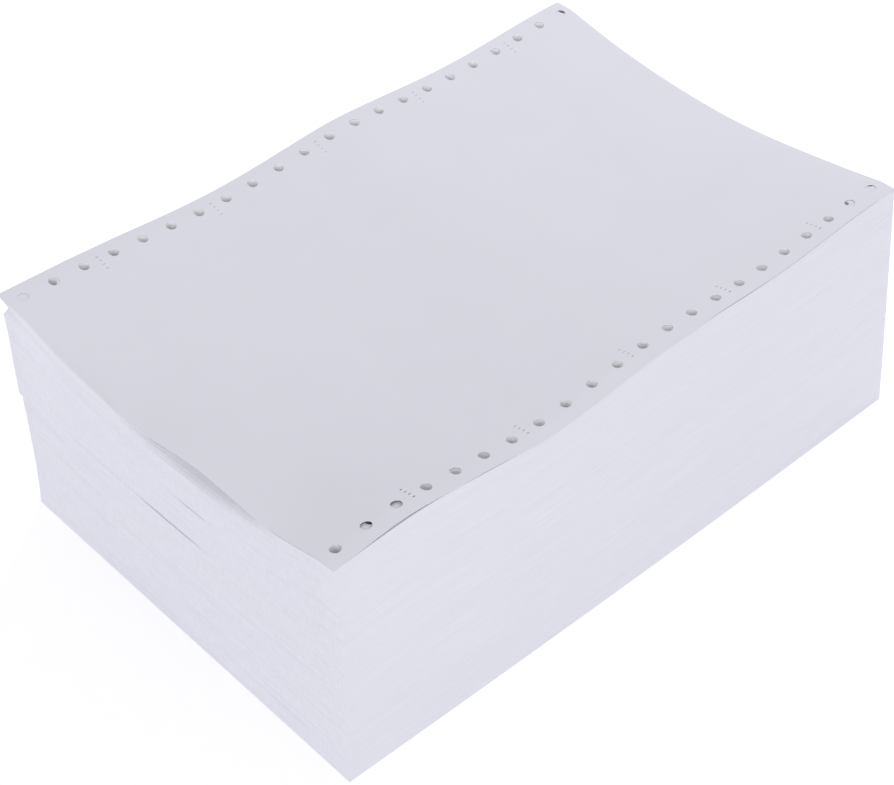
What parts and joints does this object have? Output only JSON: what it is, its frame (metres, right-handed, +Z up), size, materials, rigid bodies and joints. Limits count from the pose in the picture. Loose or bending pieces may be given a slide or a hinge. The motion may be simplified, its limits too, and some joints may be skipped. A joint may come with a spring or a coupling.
{
  "type": "continuous form paper",
  "caption": "Fan-folded stack of blank continuous form paper, with tractor holes along both long edges and the loose end of its top form lifted.",
  "frame": {"origin": "centre of the stack's box in plan, on the surface that it stands on", "axes": "+X along the depth of a form, from the loose end of the top form to its first fold; +Y across its width, from the cut edge nearer the camera to the far one; +Z up"},
  "size_m": [0.2824, 0.1846, 0.0957],
  "materials": {
    "paper": "uncoated matt white form paper with a faint lavender cast"
  },
  "bodies": {
    "root": {"fanfold_stack": "paper"}
  },
  "joints": []
}
